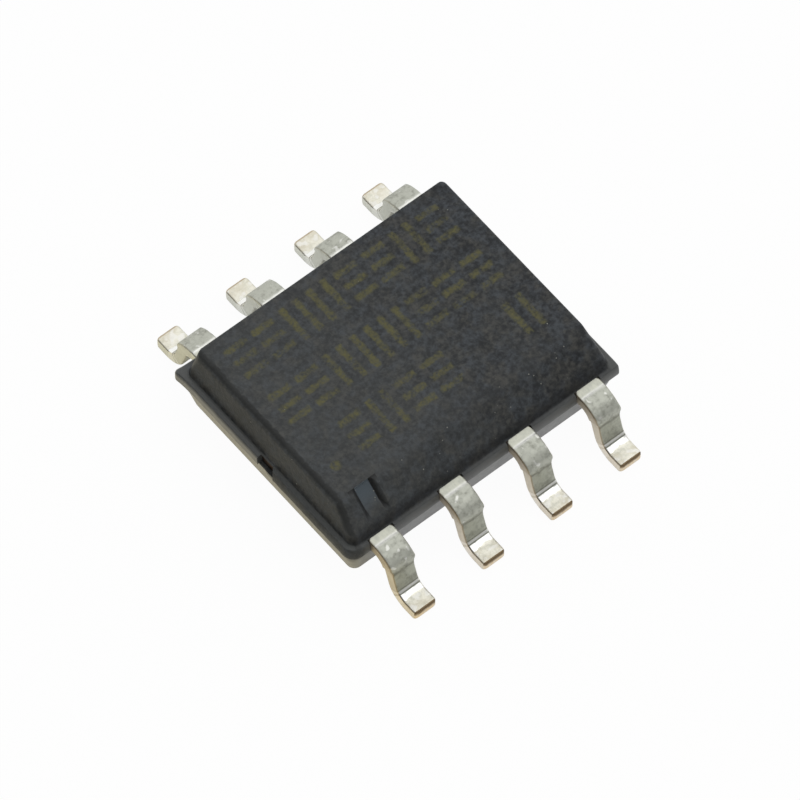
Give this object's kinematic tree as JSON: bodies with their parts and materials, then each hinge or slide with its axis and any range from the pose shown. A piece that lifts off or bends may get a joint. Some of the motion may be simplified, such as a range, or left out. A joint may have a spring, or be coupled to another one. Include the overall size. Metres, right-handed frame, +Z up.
{
  "type": "small-outline memory chip",
  "caption": "Small-outline memory chip: dark moulded body with gull-wing leads along both sides, a bevel and groove that mark the first lead, and die, paddle and bond wires inside.",
  "frame": {"origin": "centre of the seating plane under the body, level with the undersides of the feet", "axes": "+X along the rows of leads, away from lead 1; +Y towards the second row of leads; +Z up through the top face"},
  "size_m": [0.005, 0.006, 0.0015],
  "materials": {
    "mould_compound": "fine-grained matte moulded epoxy",
    "tinned_lead": "satin tin plating on copper alloy",
    "lead_frame_copper": "bare copper alloy strip",
    "die_adhesive": "silver-filled epoxy film",
    "silicon": "polished silicon",
    "bond_wire": "drawn gold wire"
  },
  "bodies": {
    "root": {"package_body": "mould_compound", "lead_1": "tinned_lead", "lead_2": "tinned_lead", "lead_3": "tinned_lead", "lead_4": "tinned_lead", "lead_5": "tinned_lead", "lead_6": "tinned_lead", "lead_7": "tinned_lead", "lead_8": "tinned_lead", "die_paddle": "lead_frame_copper", "die_attach": "die_adhesive", "silicon_die": "silicon", "bond_wire_1": "bond_wire", "bond_wire_2": "bond_wire", "bond_wire_3": "bond_wire", "bond_wire_4": "bond_wire", "bond_wire_5": "bond_wire", "bond_wire_6": "bond_wire", "bond_wire_7": "bond_wire", "bond_wire_8": "bond_wire"}
  },
  "joints": []
}
